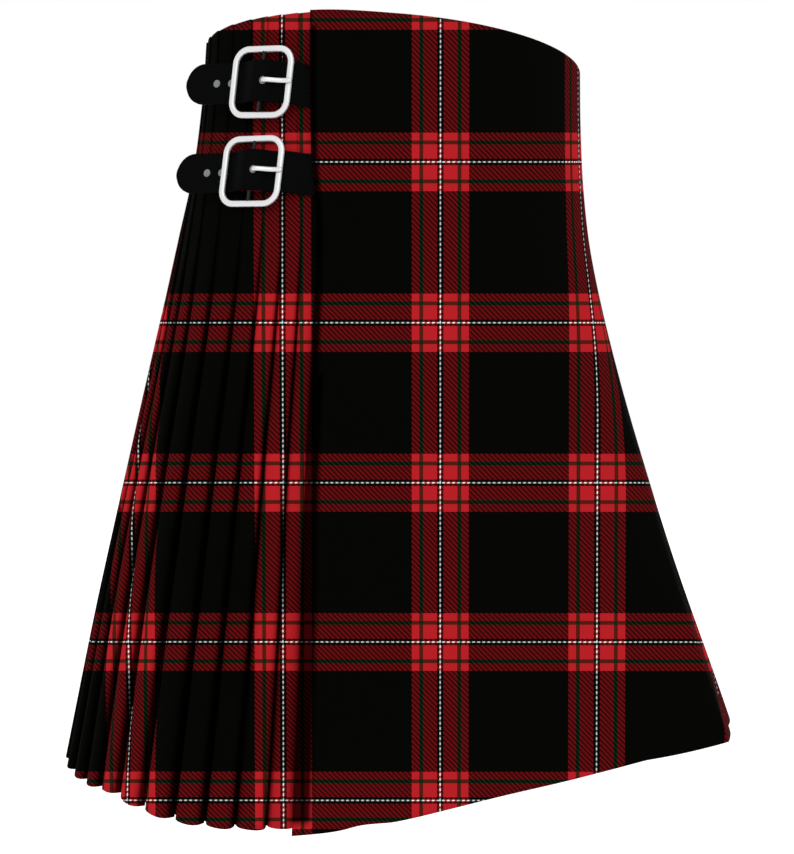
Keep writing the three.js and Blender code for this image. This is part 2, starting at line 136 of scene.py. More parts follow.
class Ring:
    """One level's outline, its arcs from the centre front and the tartan's place along it."""

    def __init__(self, height):
        self.row = row = level(height)
        self.points, self.arcs = [], [0.0]
        for k in range(RING_SAMPLES + 1):
            angle = k / RING_SAMPLES * math.tau
            across, ahead = math.sin(angle), math.cos(angle)
            depth = row["front"] if ahead > 0 else row["back"]
            power = 2 / (row["front_power"] if ahead > 0 else row["back_power"])
            self.points.append(Vector((
                -row["half_width"] * math.copysign(abs(across) ** power, across),
                -depth * math.copysign(abs(ahead) ** power, ahead),
            )))
        for here, there in zip(self.points, self.points[1:]):
            self.arcs.append(self.arcs[-1] + (there - here).length)
        self.around = self.arcs[-1]
        self.lay_tartan()

    @staticmethod
    def look(point):
        """How far across the eye's view a plan point is, at the pattern's distance, and how far away."""
        away = EYE_AWAY + point.x * math.sin(EYE_TURN) + point.y * math.cos(EYE_TURN)
        across = point.x * math.cos(EYE_TURN) - point.y * math.sin(EYE_TURN)
        return PATTERN_AWAY * across / away, away

    def lay_tartan(self):
        """The tartan's run along the arc, and how far away it is taken to be, all round."""
        seen = [self.look(point) for point in self.points]
        self.woven, self.shown = [-seen[0][0]], []
        for k in range(RING_SAMPLES):
            step = self.arcs[k + 1] - self.arcs[k]
            shown = (seen[k][0] - seen[k + 1][0]) / step
            least = HIDDEN_STRETCH + (LEAST_STRETCH - HIDDEN_STRETCH) * ease(1 + shown)
            self.woven.append(self.woven[-1] + max(shown, least) * step)
            self.shown.append(shown)
        self.shown.append(self.shown[0])
        hidden = [k for k in range(RING_SAMPLES) if self.shown[k] < 0]
        first, last = hidden[0], hidden[-1]
        self.away = [away for _, away in seen]
        for k in hidden:
            share = (self.arcs[k] - self.arcs[first]) / (self.arcs[last] - self.arcs[first])
            self.away[k] = seen[first][1] + (seen[last][1] - seen[first][1]) * share

    def between(self, values, arc):
        wrapped = arc % self.around
        k = min(bisect.bisect_right(self.arcs, wrapped), RING_SAMPLES) - 1
        share = (wrapped - self.arcs[k]) / (self.arcs[k + 1] - self.arcs[k])
        return values[k] + (values[k + 1] - values[k]) * share

    def plan(self, arc, offset):
        """The plan point at an arc, moved straight out of the form."""
        along = (self.between(self.points, arc + 2) - self.between(self.points, arc - 2)).normalized()
        return self.between(self.points, arc) + Vector((-along.y, along.x)) * offset

    def place(self, arc, offset):
        point = self.plan(arc, offset)
        return Vector((point.x, point.y, self.row["height"])) * MM

    def hang(self, arc):
        """The height at an arc, with the hem's lift shared out towards it."""
        arcs = [place for place, _ in HEM_LIFT]
        k = min(max(bisect.bisect_right(arcs, arc), 1), len(arcs) - 1)
        (here, low), (there, high) = HEM_LIFT[k - 1], HEM_LIFT[k]
        lift = low + (high - low) * ease((arc - here) / (there - here))
        return self.row["height"] + lift * ((TOP - self.row["height"]) / (TOP - HEM)) ** 2

    def sett_across(self, arc, offset):
        """The tartan's coordinate across the cloth, to the wearer's left, where a stretch is matched."""
        across = -self.between(self.woven, arc)
        if arc < 0:
            across += self.woven[-1] - self.woven[0]
        return across + self.look(self.plan(arc, offset))[0] - self.look(self.plan(arc, 0))[0]

    def sett_up(self, arc, offset):
        faced = ease((self.between(self.shown, arc) - 0.1) / 0.3)
        away = self.between(self.away, arc)
        away += (self.look(self.plan(arc, offset))[1] - self.look(self.plan(arc, 0))[1]) * faced
        return (self.hang(arc) - EYE_HEIGHT) * PATTERN_UP * PATTERN_NEAR / away

    def run(self, here, there):
        """How far the tartan runs from one plan point to the next, to the wearer's left."""
        step = (there - here).length
        shown = (self.look(there)[0] - self.look(here)[0]) / step
        least = HIDDEN_STRETCH + (LEAST_STRETCH - HIDDEN_STRETCH) * ease(1 + shown)
        return max(shown, least) * step


class Number:
    """A socket that takes part in sums, each of which adds a Math node."""

    def __init__(self, finish, socket):
        self.finish, self.socket = finish, socket

    def math(self, operation, *others):
        values = dict(enumerate((self, *others)))
        return self.finish.add("ShaderNodeMath", {"operation": operation}, values)

    def __add__(self, other):
        return self.math("ADD", other)

    def __sub__(self, other):
        return self.math("SUBTRACT", other)

    def __rsub__(self, other):
        return self.finish.add("ShaderNodeMath", {"operation": "SUBTRACT"}, {0: other, 1: self})

    def __mul__(self, other):
        return self.math("MULTIPLY", other)

    def __truediv__(self, other):
        return self.math("DIVIDE", other)

    def __lt__(self, other):
        return self.math("LESS_THAN", other)

    __radd__ = __add__
    __rmul__ = __mul__


class Finish:
    """A material under construction around its one Principled shader."""

    def __init__(self, name, **constants):
        self.material = bpy.data.materials.new(name)
        self.material.use_nodes = True
        self.tree = self.material.node_tree
        self.shader = self.tree.nodes["Principled BSDF"]
        for socket, value in constants.items():
            self.shader.inputs[socket.replace("_", " ")].default_value = value

    def add(self, kind, settings=None, values=None, out=0):
        """A node with its settings, then its sockets' values or links, as a number or colour."""
        node = self.tree.nodes.new(kind)
        for name, value in (settings or {}).items():
            if name == "stops":
                ramp = node.color_ramp
                ramp.interpolation = "CONSTANT"
                while len(ramp.elements) < len(value):
                    ramp.elements.new(1.0)
                for element, (place, colour) in zip(ramp.elements, value):
                    element.position = place
                    element.color = colour
            else:
                setattr(node, name, value)
        for socket, value in (values or {}).items():
            self.join(value, node.inputs[socket])
        return Number(self, node.outputs[out])

    def join(self, value, socket):
        if isinstance(value, Number):
            self.tree.links.new(value.socket, socket)
        else:
            socket.default_value = value

    def feed(self, **inputs):
        for name, value in inputs.items():
            self.join(value, self.shader.inputs[name.replace("_", " ")])

    def noise(self, scale, detail=2.0, coordinates=None):
        if coordinates is None:
            coordinates = self.add("ShaderNodeTexCoord", out="Object")
        return self.add(
            "ShaderNodeTexNoise", None, {"Vector": coordinates, "Scale": scale, "Detail": detail}, "Fac"
        )

    def tinted(self, colour, amount):
        """A colour made lighter or darker by a number about 1."""
        grey = self.add("ShaderNodeCombineColor", None, {0: amount, 1: amount, 2: amount})
        return self.add(
            "ShaderNodeMix", {"data_type": "RGBA", "blend_type": "MULTIPLY"}, {0: 1.0, 6: colour, 7: grey}, 2
        )

    def relief(self, height, distance, strength=1.0):
        values = {"Height": height, "Distance": distance, "Strength": strength}
        self.feed(Normal=self.add("ShaderNodeBump", None, values, "Normal"))


def tartan():
    """Worsted kilt cloth: the chart's colours on every thread of warp and weft of a 2/2 twill, darkened by
    each piece's painted shade.
    """
    cloth = Finish(
        "tartan_twill", Roughness=0.9, Specular_IOR_Level=0.004, Sheen_Weight=0.001, Sheen_Roughness=0.4
    )
    weave = cloth.add("ShaderNodeUVMap", {"uv_map": "weave"})
    across = cloth.add("ShaderNodeSeparateXYZ", None, {0: weave}, 0) / (THREAD * MM) + 0.5
    up = cloth.add("ShaderNodeSeparateXYZ", None, {0: weave}, 1) / (THREAD * MM) + 0.5
    warp = across.math("FLOOR")
    weft = up.math("FLOOR")
    stops, first = [], 0
    for _, count, dye, cover in THREADS:
        stops.append((first / HALF_SETT, (*dye, cover)))
        first += count

    def dyed(thread):
        """A thread's colour and cover, by its number from a white thread."""
        place = (thread.math("PINGPONG", float(HALF_SETT)) + 0.5) / HALF_SETT
        colour = cloth.add("ShaderNodeValToRGB", {"stops": stops}, {0: place})
        return colour, Number(cloth, colour.socket.node.outputs["Alpha"])

    (warp_dye, warp_cover), (weft_dye, weft_cover) = dyed(warp), dyed(weft)
    warp_over = (warp + weft).math("FLOORED_MODULO", 4.0) < 1.5
    weft_over = 1 - warp_over
    cover = warp_over * warp_cover + weft_over * weft_cover
    bright_under = (warp_over * weft_cover + weft_over * warp_cover) < 0.9
    colour = cloth.add(
        "ShaderNodeMix", {"data_type": "RGBA"},
        {0: GRIN + (1 - 2 * GRIN) * warp_over, 6: weft_dye, 7: warp_dye}, 2,
    )
    warp_round = (across * math.pi).math("SINE").math("ABSOLUTE")
    weft_round = (up * math.pi).math("SINE").math("ABSOLUTE")
    ridge = warp_over * warp_round + weft_over * weft_round
    wool = cloth.noise(2600.0)
    patchy = cloth.noise(9.0)
    # The painted shade attribute darkens the colour where shadow falls: in the pleats' grooves and recesses
    # and along the apron's free edge.
    shade = cloth.add("ShaderNodeAttribute", {"attribute_name": "shade"}, out="Fac")
    # Each thread's crown is painted lighter than its sides, a painted shade of its roundness; the wool and
    # patchy noise are the cloth's own uneven tone.
    amount = (0.84 + 0.16 * ridge + 0.22 * (wool - 0.5) + 0.08 * (patchy - 0.5)) * shade
    amount = amount * (cover + (1 - cover) * bright_under)
    cloth.feed(Base_Color=cloth.tinted(colour, amount), Roughness=0.84 + 0.12 * wool)
    cloth.relief(ridge + 0.5 * wool, 0.00012, 0.6)
    return cloth.material


def finished(name, mesh_maker, material, replaces, body="root"):
    """An object made from a bmesh whose points are already in place, riding on the kilt."""
    mesh = bpy.data.meshes.new(name)
    mesh_maker.to_mesh(mesh)
    mesh_maker.free()
    mesh.materials.append(material)
    mesh.polygons.foreach_set("use_smooth", [True] * len(mesh.polygons))
    piece = bpy.data.objects.new(name, mesh)
    bpy.context.collection.objects.link(piece)
    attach(piece, body)
    if replaces:
        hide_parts(*replaces)
    return piece


def cloth_piece(name, columns, rows, at, replaces, matches):
    """A width of cloth laid on the form. at(ring, column) gives its arc, offset and painted shade. matches
    has each stretch's first column, the one where the tartan is matched to its neighbours, and its last.
    On stretches that face away the lines run straight down that column."""
    laid, weaves, plumb = {}, {}, {}
    middle = Ring(PLUMB_HEIGHT)
    for _, match, _ in matches:
        arc, offset, _ = at(middle, match)
        plumb[match] = middle.sett_across(arc, offset), ease(-middle.between(middle.shown, arc) / PLUMB_TURN)
    for row in range(rows + 1):
        ring = Ring(HEM + (TOP - HEM) * row / rows)
        spots = [at(ring, column) for column in range(columns + 1)]
        plans = [ring.plan(arc, offset) for arc, offset, _ in spots]
        across = {}
        for first, match, last in matches:
            own, (straight, share) = ring.sett_across(*spots[match][:2]), plumb[match]
            across[match] = own + (straight - own) * share
            for column in range(match, last):
                across[column + 1] = across[column] + ring.run(plans[column], plans[column + 1])
            for column in range(match, first, -1):
                across[column - 1] = across[column] - ring.run(plans[column - 1], plans[column])
        for column, (arc, offset, shade) in enumerate(spots):
            point = Vector((*plans[column], ring.hang(arc))) * MM
            laid[column, row] = point, shade
            up = ring.sett_up(arc, offset)
            weaves[column, row] = ((across[column] - WHITE_CROSS[0]) * MM, (up - WHITE_CROSS[1]) * MM)
    mesh = bmesh.new()
    bmesh.ops.create_grid(mesh, x_segments=columns, y_segments=rows, size=1)
    weave = mesh.loops.layers.uv.new("weave")
    # The painted shade, a darkening of the colour where shadow falls, kept on each point for the tartan to
    # read.
    painted_shades = mesh.verts.layers.float.new("shade")
    threads = {}
    for point in mesh.verts:
        key = round((1 + point.co.x) / 2 * columns), round((1 + point.co.y) / 2 * rows)
        point.co, point[painted_shades] = laid[key]
        threads[point] = weaves[key]
    for face in mesh.faces:
        for loop in face.loops:
            loop[weave].uv = threads[loop.vert]
    piece = finished(name, mesh, TARTAN, replaces)
    wall = piece.modifiers.new("cloth", "SOLIDIFY")
    wall.thickness = CLOTH * MM
    wall.offset = 0
    return piece


TARTAN = tartan()
FRONT_COLUMNS = 90  # from the free edge to the crease at the wearer's left
SIDE_COLUMNS = 28
APRON_ROWS = 122
APRON_ROLL = 70
EDGE_LEAN = 0.5
CREASE_FRONT, CREASE_TIP, CREASE_BACK = 0.38, 0.7, 0.86  # shares of the way to the join
# A painted shadow: a strip along the outer apron's free edge is painted dark, widening from the waist to the
# hem and stopping a little above the hem.
EDGE_SHADOW_WIDTH = 12.0  # the painted shadow's width along the free edge, at the hem
EDGE_SHADOW_WIDTH_TOP = 3.0
EDGE_SHADOW_STOP = 9.0  # where the painted shadow stops, above the hem
EDGE_SHADOW_DARKNESS = 0.07

# Soft swells down the apron. Each has its place as a share of the way from the join to the free
# edge, its width and its depth at the hem, and the height where it starts.
SWELL_COLUMNS = ("place", "width", "depth", "start")
SWELLS = [
    dict(zip(SWELL_COLUMNS, row))
    for row in (
        (0.36, 34, -1.2, -330),
        (0.52, 30, 0.9, -380),
        (0.66, 38, -1.1, -300),
        (0.82, 28, 1.0, -350),
    )
]


def outer_apron_at(ring, column):
    row = ring.row
    edge = row["free_edge"] + (row["stand"] - FORM[0]["stand"]) * EDGE_LEAN
    tip = -row["join"] * CREASE_TIP
    if column <= FRONT_COLUMNS:
        arc = edge + (tip - edge) * column / FRONT_COLUMNS
        foot = -row["join"] * CREASE_FRONT
    else:
        arc = tip - (row["join"] + tip) * (column - FRONT_COLUMNS) / SIDE_COLUMNS
        foot = -row["join"] * CREASE_BACK
    offset = row["corner"] * max((arc - foot) / (tip - foot), 0)
    offset += row["stand"] * ease((arc - edge + APRON_ROLL) / APRON_ROLL)
    for swell in SWELLS:
        grown = ease((swell["start"] - row["height"]) / (swell["start"] - HEM))
        away = (arc + row["join"] - swell["place"] * (row["join"] + edge)) / swell["width"]
        offset += swell["depth"] * grown * math.exp(-away * away)
    down = (TOP - row["height"]) / (TOP - HEM)
    shadow_width = EDGE_SHADOW_WIDTH_TOP + (EDGE_SHADOW_WIDTH - EDGE_SHADOW_WIDTH_TOP) * down
    # The strip along the free edge gets the painted shadow.
    in_painted_shadow = edge - arc < shadow_width and row["height"] > HEM + EDGE_SHADOW_STOP
    return arc, offset, EDGE_SHADOW_DARKNESS if in_painted_shadow else 1.0


outer_apron = cloth_piece(
    "outer_apron_cloth", FRONT_COLUMNS + SIDE_COLUMNS, APRON_ROWS, outer_apron_at, ["outer_apron"],
    [(0, 0, FRONT_COLUMNS + SIDE_COLUMNS)],
)


# ---- Inner apron ----
# The under layer of the front, the same cloth, one layer in. It runs from the first pleat at the
# wearer's right to just short of the outer apron's join at the wearer's left.

SEAM_GAP = 0.3
TUCK = 18
INNER_SHORT = 25
INNER_OFFSET = -2.6
INNER_COLUMNS = 40
INNER_ROWS = 40


def inner_apron_at(ring, column):
    row = ring.row
    first = row["free_edge"] - TUCK - SEAM_GAP
    arc = first - (first + row["join"] - INNER_SHORT) * column / INNER_COLUMNS
    return arc, INNER_OFFSET, 1.0


inner_apron = cloth_piece(
    "inner_apron_cloth", INNER_COLUMNS, INNER_ROWS, inner_apron_at, ["inner_apron"],
    [(0, 0, INNER_COLUMNS)],
)


# ---- Pleated back ----
# Forty knife pleats, pressed with their folds towards the apron. They are sewn down over the fell,
# from the waist to below the lower strap, and hang free under it, opening a little towards the hem.

PLEATS = 40
FIRST_WIDTHS = (0.66, 0.77, 0.80, 0.93, 1.22, 1.28, 1.12, 1.0)
UNEVEN = 0.05
UNEVEN_TURN = 2.3
LAP = 10
PLY = 1.2
WIDTHS = [
    FIRST_WIDTHS[k] if k < len(FIRST_WIDTHS) else 1 + UNEVEN * math.sin(k * UNEVEN_TURN)
    for k in range(PLEATS)
]
FELL_END = -112
FELL_EASE = 90
PLEAT_ROWS = 72

# A free pleat's face from its fold to where it runs under the next one: the share of its width, how
# far it drops below its crest as a share of the saw, and its painted shade in the grooves by the folds.
FACE_COLUMNS = ("share", "drop", "shade")
FACE = [
    dict(zip(FACE_COLUMNS, row))
    for row in (
        (0.00, 0.62, 0.05),
        (0.03, 0.36, 0.12),
        (0.07, 0.17, 0.7),
        (0.16, 0.04, 1.0),
        (0.27, 0.00, 1.0),
        (0.45, 0.06, 1.0),
        (0.64, 0.20, 1.0),
        (0.78, 0.38, 1.0),
        (0.87, 0.60, 0.7),
        (0.92, 0.82, 0.06),
        (1.00, 1.00, 0.05),
    )
]
STATIONS = len(FACE) + 3
CREST = 4

# Each column's pleat and its place in that pleat, from the wearer's left round to the first pleat.
# The last pleat goes under none, and the first one starts under the apron.
PLEAT_COLUMNS = [(pleat, k) for pleat in range(PLEATS) for k in range(STATIONS)]
PLEAT_COLUMNS = [None] + PLEAT_COLUMNS[: -3]
PLEAT_COLUMNS.reverse()
FACE_ENDS = [k for k, found in enumerate(PLEAT_COLUMNS) if found and found[1] == 0]
PLEAT_MATCHES = [
    (before + 1, end - CREST, end) for before, end in zip([-1] + FACE_ENDS, FACE_ENDS)
]
PLEAT_MATCHES[-1] = (*PLEAT_MATCHES[-1][:2], len(PLEAT_COLUMNS) - 1)


def pleat_at(ring, column):
    """The arc, offset and painted shade at one column of the pleats."""
    row = ring.row
    # The cloth tucked under the apron and each fold's hidden plies are painted at 0.3, painted shade in the
    # recesses.
    if PLEAT_COLUMNS[column] is None:
        return row["free_edge"] - TUCK, INNER_OFFSET, 0.3
    pleat, k = PLEAT_COLUMNS[column]
    end = ring.around - row["join"] - SEAM_GAP
    even = (end - row["free_edge"]) / sum(WIDTHS)
    fold = row["free_edge"] + even * sum(WIDTHS[:pleat])
    width = even * WIDTHS[pleat]
    free = ease((FELL_END - row["height"]) / FELL_EASE)
    if k < len(FACE):
        part = FACE[k]
        drop = part["share"] + (part["drop"] - part["share"]) * free
        # The grooves' painted shade comes in where the pleats hang free below the fell.
        return fold + width * part["share"], -row["saw"] * drop, 1 + (part["shade"] - 1) * free
    under = -row["saw"] * (1 + LAP / width * 0.5)
    if k == len(FACE):
        return fold + width + LAP, under - PLY / 2, 0.3
    if k == len(FACE) + 1:
        return fold + width + LAP, under + PLY / 2, 0.3
    return fold + width, -PLY - row["saw"] * 0.62 * free, 0.3


pleated_back = cloth_piece(
    "pleated_back_cloth", len(PLEAT_COLUMNS) - 1, PLEAT_ROWS, pleat_at, ["pleated_back"], PLEAT_MATCHES
)


# ---- Straps ----
# Two straps of black bridle leather with rounded tails and a crease pressed along each edge. Each is
# sewn under the apron's free edge, and runs back under the buckle's side bars and over its centre bar.

FASTENING_COLUMNS = ("name", "arc", "height", "tilt")
FASTENINGS = [
    dict(zip(FASTENING_COLUMNS, row)) for row in (("upper", 201.5, -4.4, 5.5), ("lower", 209.5, -76.4, 3.5))
]
FRAME_SPAN = 20
FRAME_LENGTH = 56
FRAME_HEIGHT = 58
SIDE_BAR = 5.4
END_BAR = 4.6
FRAME_THICK = 3.2
FRAME_OUT = 5.6
CENTRE_BAR_R = 1.4
STRAP_WIDTH = 33
STRAP_THICK = 2.0
STRAP_CLEAR = 0.4
STRAP_TUCK = 12
STRAP_ROOT_OUT = 1.9
ROOT_LEVEL = 2
TAIL = 45
HUMP_TOP = 3.5
HUMP_STEPS = 10
CHAPE_PLY = 1.2
HOLES = (-4.6, 29.4, 43.4)
STRAP_STEPS = 110
TIP_STEPS = 14
CREASE_DEEP = 0.35
# Places across half the strap, as shares, with how deep each is pressed as a share of the crease.
HALF_ACROSS = ((0.0, 0), (0.4, 0), (0.76, 0), (0.80, 0.3), (0.84, 1.0), (0.88, 0.3), (0.92, 0), (1.0, 0))
ACROSS = [(-share, deep) for share, deep in HALF_ACROSS[:0:-1]] + list(HALF_ACROSS)


def spot(arc, height, offset):
    return Ring(height).place(arc, offset)


class Fastening:
    """A buckle's place on the form, with the ways along its strap, up and out."""

    def __init__(self, name, arc, height, tilt):
        self.name, self.arc, self.height, self.tilt = name, arc, height, math.radians(tilt)
        self.centre = spot(arc, height, 0)
        level_way = (spot(arc + FRAME_SPAN, height, 0) - spot(arc - FRAME_SPAN, height, 0)).normalized()
        rise = spot(arc, height + FRAME_SPAN, 0) - spot(arc, height - FRAME_SPAN, 0)
        self.out = rise.cross(level_way).normalized()
        if self.out.xy.dot(self.centre.xy) < 0:
            self.out.negate()
        upright = self.out.cross(level_way)
        if upright.z < 0:
            upright.negate()
        self.along = level_way * math.cos(self.tilt) + upright * math.sin(self.tilt)
        self.up = upright * math.cos(self.tilt) - level_way * math.sin(self.tilt)

    def at(self, along, up, out):
        return self.centre + (self.along * along + self.up * up + self.out * out) * MM

    def matrix(self, out=0.0):
        """Turns a shape drawn in metres along, up and out into its place."""
        turned = Matrix((-self.along, self.up, self.out)).transposed().to_4x4()
        turned.translation = self.at(0, 0, out)
        return turned


def curved(points, steps):
    """Points evenly spaced along a smooth curve through some others."""
    ends = [2 * points[0] - points[1], *points, 2 * points[-1] - points[-2]]
    dense = []
    for p0, p1, p2, p3 in zip(ends, ends[1:], ends[2:], ends[3:]):
        t1 = math.sqrt((p1 - p0).length)
        t2 = t1 + math.sqrt((p2 - p1).length)
        t3 = t2 + math.sqrt((p3 - p2).length)
        for k in range(12):
            t = t1 + (t2 - t1) * k / 12
            a1, a2 = p0.lerp(p1, t / t1), p1.lerp(p2, (t - t1) / (t2 - t1))
            a3 = p2.lerp(p3, (t - t2) / (t3 - t2))
            b1, b2 = a1.lerp(a2, t / t2), a2.lerp(a3, (t - t1) / (t3 - t1))
            dense.append(b1.lerp(b2, (t - t1) / (t2 - t1)))
    dense.append(points[-1].copy())
    run = [0.0]
    for here, there in zip(dense, dense[1:]):
        run.append(run[-1] + (there - here).length)
    found = []
    for share in steps:
        goal = min(share, 1.0) * run[-1]
        k = min(bisect.bisect_right(run, goal), len(dense) - 1)
        found.append(dense[k - 1].lerp(dense[k], (goal - run[k - 1]) / (run[k] - run[k - 1])))
    return found, run[-1]


def black_leather():
    """Dyed bridle leather, smooth, with a fine grain and a dull wax finish."""
    hide = Finish("black_leather", Specular_IOR_Level=0.012)
    grain = hide.add("ShaderNodeTexVoronoi", None, {
        "Vector": hide.add("ShaderNodeTexCoord", out="Object"), "Scale": 1400.0, "Randomness": 1.0,
    }, "Distance")
    wear = hide.noise(60.0, 4.0)
    hide.feed(
        Base_Color=hide.tinted((0.0014, 0.0016, 0.0015, 1), 0.8 + 0.5 * wear),
        Roughness=0.5 + 0.2 * wear,
    )
    hide.relief(grain + 0.4 * wear, 0.00008, 0.5)
    return hide.material


LEATHER = black_leather()


def strap_path(fastening):
    """The strap's middle line, from its sewn end to its tail."""
    root = level(fastening.height)["free_edge"] - STRAP_TUCK
    bar_out = FRAME_OUT - FRAME_THICK / 2 - STRAP_CLEAR - STRAP_THICK / 2
    over_bar = FRAME_OUT + CENTRE_BAR_R + CHAPE_PLY + 2 * STRAP_CLEAR + STRAP_THICK / 2
    bar = (FRAME_LENGTH - SIDE_BAR) / 2
    root_height = fastening.height - (fastening.arc - root) * math.sin(fastening.tilt)
    hump_foot = bar - SIDE_BAR / 2 - STRAP_THICK / 2
    path = [
        spot(root, root_height, STRAP_ROOT_OUT),
        spot(root + STRAP_TUCK + ROOT_LEVEL, root_height, STRAP_ROOT_OUT),
        fastening.at(-bar - SIDE_BAR / 2, 0, bar_out),
    ]
    for k in range(HUMP_STEPS + 1):
        along = -hump_foot + 2 * hump_foot * k / HUMP_STEPS
        fall = ease((abs(along) - HUMP_TOP) / (hump_foot - HUMP_TOP))
        path.append(fastening.at(along, 0, over_bar + (bar_out - over_bar) * fall))
    path += [
        fastening.at(bar + SIDE_BAR / 2, 0, bar_out),
        fastening.at(bar + TAIL / 2, 0, bar_out),
        fastening.at(bar + SIDE_BAR / 2 + TAIL, 0, bar_out),
    ]
    return path, root


def strap(fastening):
    path, root = strap_path(fastening)
    tip = STRAP_WIDTH / 2
    _, length = curved(path, [1.0])
    straight = 1 - tip * MM / length
    places = [straight * k / STRAP_STEPS for k in range(STRAP_STEPS)]
    for k in range(TIP_STEPS + 1):
        places.append(straight + (1 - straight) * math.sin(k / TIP_STEPS * math.pi / 2))
    points, _ = curved(path, places)
    root_up = (spot(root, fastening.height + tip, 0) - spot(root, fastening.height - tip, 0)).normalized()
    turned_by = (fastening.arc - root - FRAME_LENGTH / 2) * MM
    mesh = bmesh.new()
    bmesh.ops.create_grid(mesh, x_segments=len(places) - 1, y_segments=len(ACROSS) - 1, size=1)
    for vertex in mesh.verts:
        station = round((1 + vertex.co.x) / 2 * (len(places) - 1))
        share, deep = ACROSS[round((1 + vertex.co.y) / 2 * (len(ACROSS) - 1))]
        last, following = max(station - 1, 0), min(station + 1, len(places) - 1)
        tangent = (points[following] - points[last]).normalized()
        up = root_up.lerp(fastening.up, ease(places[station] * length / turned_by))
        up = (up - tangent * up.dot(tangent)).normalized()
        out = tangent.cross(up).normalized()
        if out.dot(fastening.out) < 0:
            out.negate()
        past = max((places[station] * length - straight * length) / MM, 0)
        half = math.sqrt(max(tip * tip - past * past, 0.01))
        vertex.co = points[station] + up * share * half * MM - out * deep * CREASE_DEEP * MM
    bmesh.ops.recalc_face_normals(mesh, faces=mesh.faces)
    piece = finished(f"{fastening.name}_strap_leather", mesh, LEATHER,
                     [f"{fastening.name}_strap"])
    wall = piece.modifiers.new("thickness", "SOLIDIFY")
    wall.thickness = STRAP_THICK * MM
    wall.offset = 0
    edges = piece.modifiers.new("rounded_edges", "BEVEL")
    edges.width = 0.55 * MM
    edges.segments = 2
    edges.limit_method = "ANGLE"
    edges.angle_limit = math.radians(50)
    return piece


fastenings = [Fastening(**row) for row in FASTENINGS]
for fastening in fastenings:
    strap(fastening)


# ---- Eyelets ----
# A small grey metal cup pressed into each of a strap's holes. The first one of each strap takes the
# prong.

EYELET_R = 3.1
EYELET_RIM = 0.45
# The cup's profile from its rim's foot in to its middle, as shares of the radius and of the rim.
EYELET_PROFILE = ((1.0, -0.6), (1.0, 0.5), (0.95, 0.85), (0.87, 1.0), (0.79, 0.8), (0.7, 0.45), (0.0, 0.35))


def grey_metal():
    """Dull grey plating."""
    plate = Finish("eyelet_grey", Metallic=0.0, Specular_IOR_Level=0.2)
    wear = plate.noise(900.0, 3.0)
    plate.feed(Base_Color=plate.tinted((0.17, 0.172, 0.174, 1), 0.85 + 0.3 * wear),
               Roughness=0.5 + 0.2 * wear)
    return plate.material


def eyelets(fastening):
    bar_out = FRAME_OUT - FRAME_THICK / 2 - STRAP_CLEAR
    over_bar = FRAME_OUT + CENTRE_BAR_R + CHAPE_PLY + 2 * STRAP_CLEAR + STRAP_THICK
    mesh = bmesh.new()
    for place in HOLES:
        out = over_bar if abs(place) < HUMP_TOP + EYELET_R else bar_out
        cup = bmesh.new()
        profile = [
            cup.verts.new((EYELET_R * share * MM, 0, EYELET_RIM * rise * MM))
            for share, rise in EYELET_PROFILE
        ]
        edges = [cup.edges.new(pair) for pair in zip(profile, profile[1:])]
        bmesh.ops.spin(cup, geom=profile + edges, cent=(0, 0, 0), axis=(0, 0, 1), angle=math.tau,
                       steps=24, use_merge=True)
        bmesh.ops.remove_doubles(cup, verts=cup.verts, dist=1e-6)
        bmesh.ops.recalc_face_normals(cup, faces=cup.faces)
        cup.transform(Matrix.Translation((-place * MM, 0, out * MM)))
        cup.transform(fastening.matrix())
        data = bpy.data.meshes.new("cup")
        cup.to_mesh(data)
        cup.free()
        mesh.from_mesh(data)
        bpy.data.meshes.remove(data)
    return finished(f"{fastening.name}_eyelets", mesh, GREY, [])


GREY = grey_metal()
for fastening in fastenings:
    eyelets(fastening)


# ---- Buckles ----
# Cast nickel-plated frames with round corners and a bar across the middle, held by a leather chape.

FRAME_CORNER = 14
CORNER_STEPS = 9
FRAME_SOFT = 1.35  # the bars' edges are rounded by this


def nickel():
    """Bright nickel plate, nearly white, with faint polishing marks."""
    plate = Finish("bright_nickel", Metallic=0.55, Specular_IOR_Level=0.4)
    marks = plate.noise(420.0, 5.0)
    plate.feed(Base_Color=plate.tinted((0.655, 0.66, 0.67, 1), 0.97 + 0.06 * marks),
               Roughness=0.28 + 0.12 * marks)
    plate.relief(marks, 0.00003, 0.25)
    return plate.material


def buckle(fastening):
    mesh = bmesh.new()
    bmesh.ops.create_cube(mesh, size=1)
    mesh.transform(Matrix.Diagonal((FRAME_LENGTH * MM, FRAME_HEIGHT * MM, FRAME_THICK * MM, 1)))
    upright = [edge for edge in mesh.edges if abs((edge.verts[0].co - edge.verts[1].co).z) > MM]
    bmesh.ops.bevel(mesh, geom=upright, offset=FRAME_CORNER * MM, segments=CORNER_STEPS, profile=0.5,
                    affect="EDGES", material=-1)
    flats = [face for face in mesh.faces if abs(face.normal.z) > 0.9]
    bmesh.ops.inset_region(mesh, faces=flats, thickness=(SIDE_BAR + END_BAR) / 2 * MM)
    inner = [edge for face in flats for edge in face.edges]
    bmesh.ops.delete(mesh, geom=flats, context="FACES_ONLY")
    bmesh.ops.bridge_loops(mesh, edges=inner)
    rims = [edge for edge in mesh.edges if edge.calc_face_angle(0) > math.radians(60)]
    bmesh.ops.bevel(mesh, geom=rims, offset=FRAME_SOFT * MM, segments=4, profile=0.5, affect="EDGES",
                    material=-1)
    mesh.transform(fastening.matrix(FRAME_OUT))
    bmesh.ops.recalc_face_normals(mesh, faces=mesh.faces)
    return finished(f"{fastening.name}_buckle_metal", mesh, NICKEL,
                    [f"{fastening.name}_buckle"])


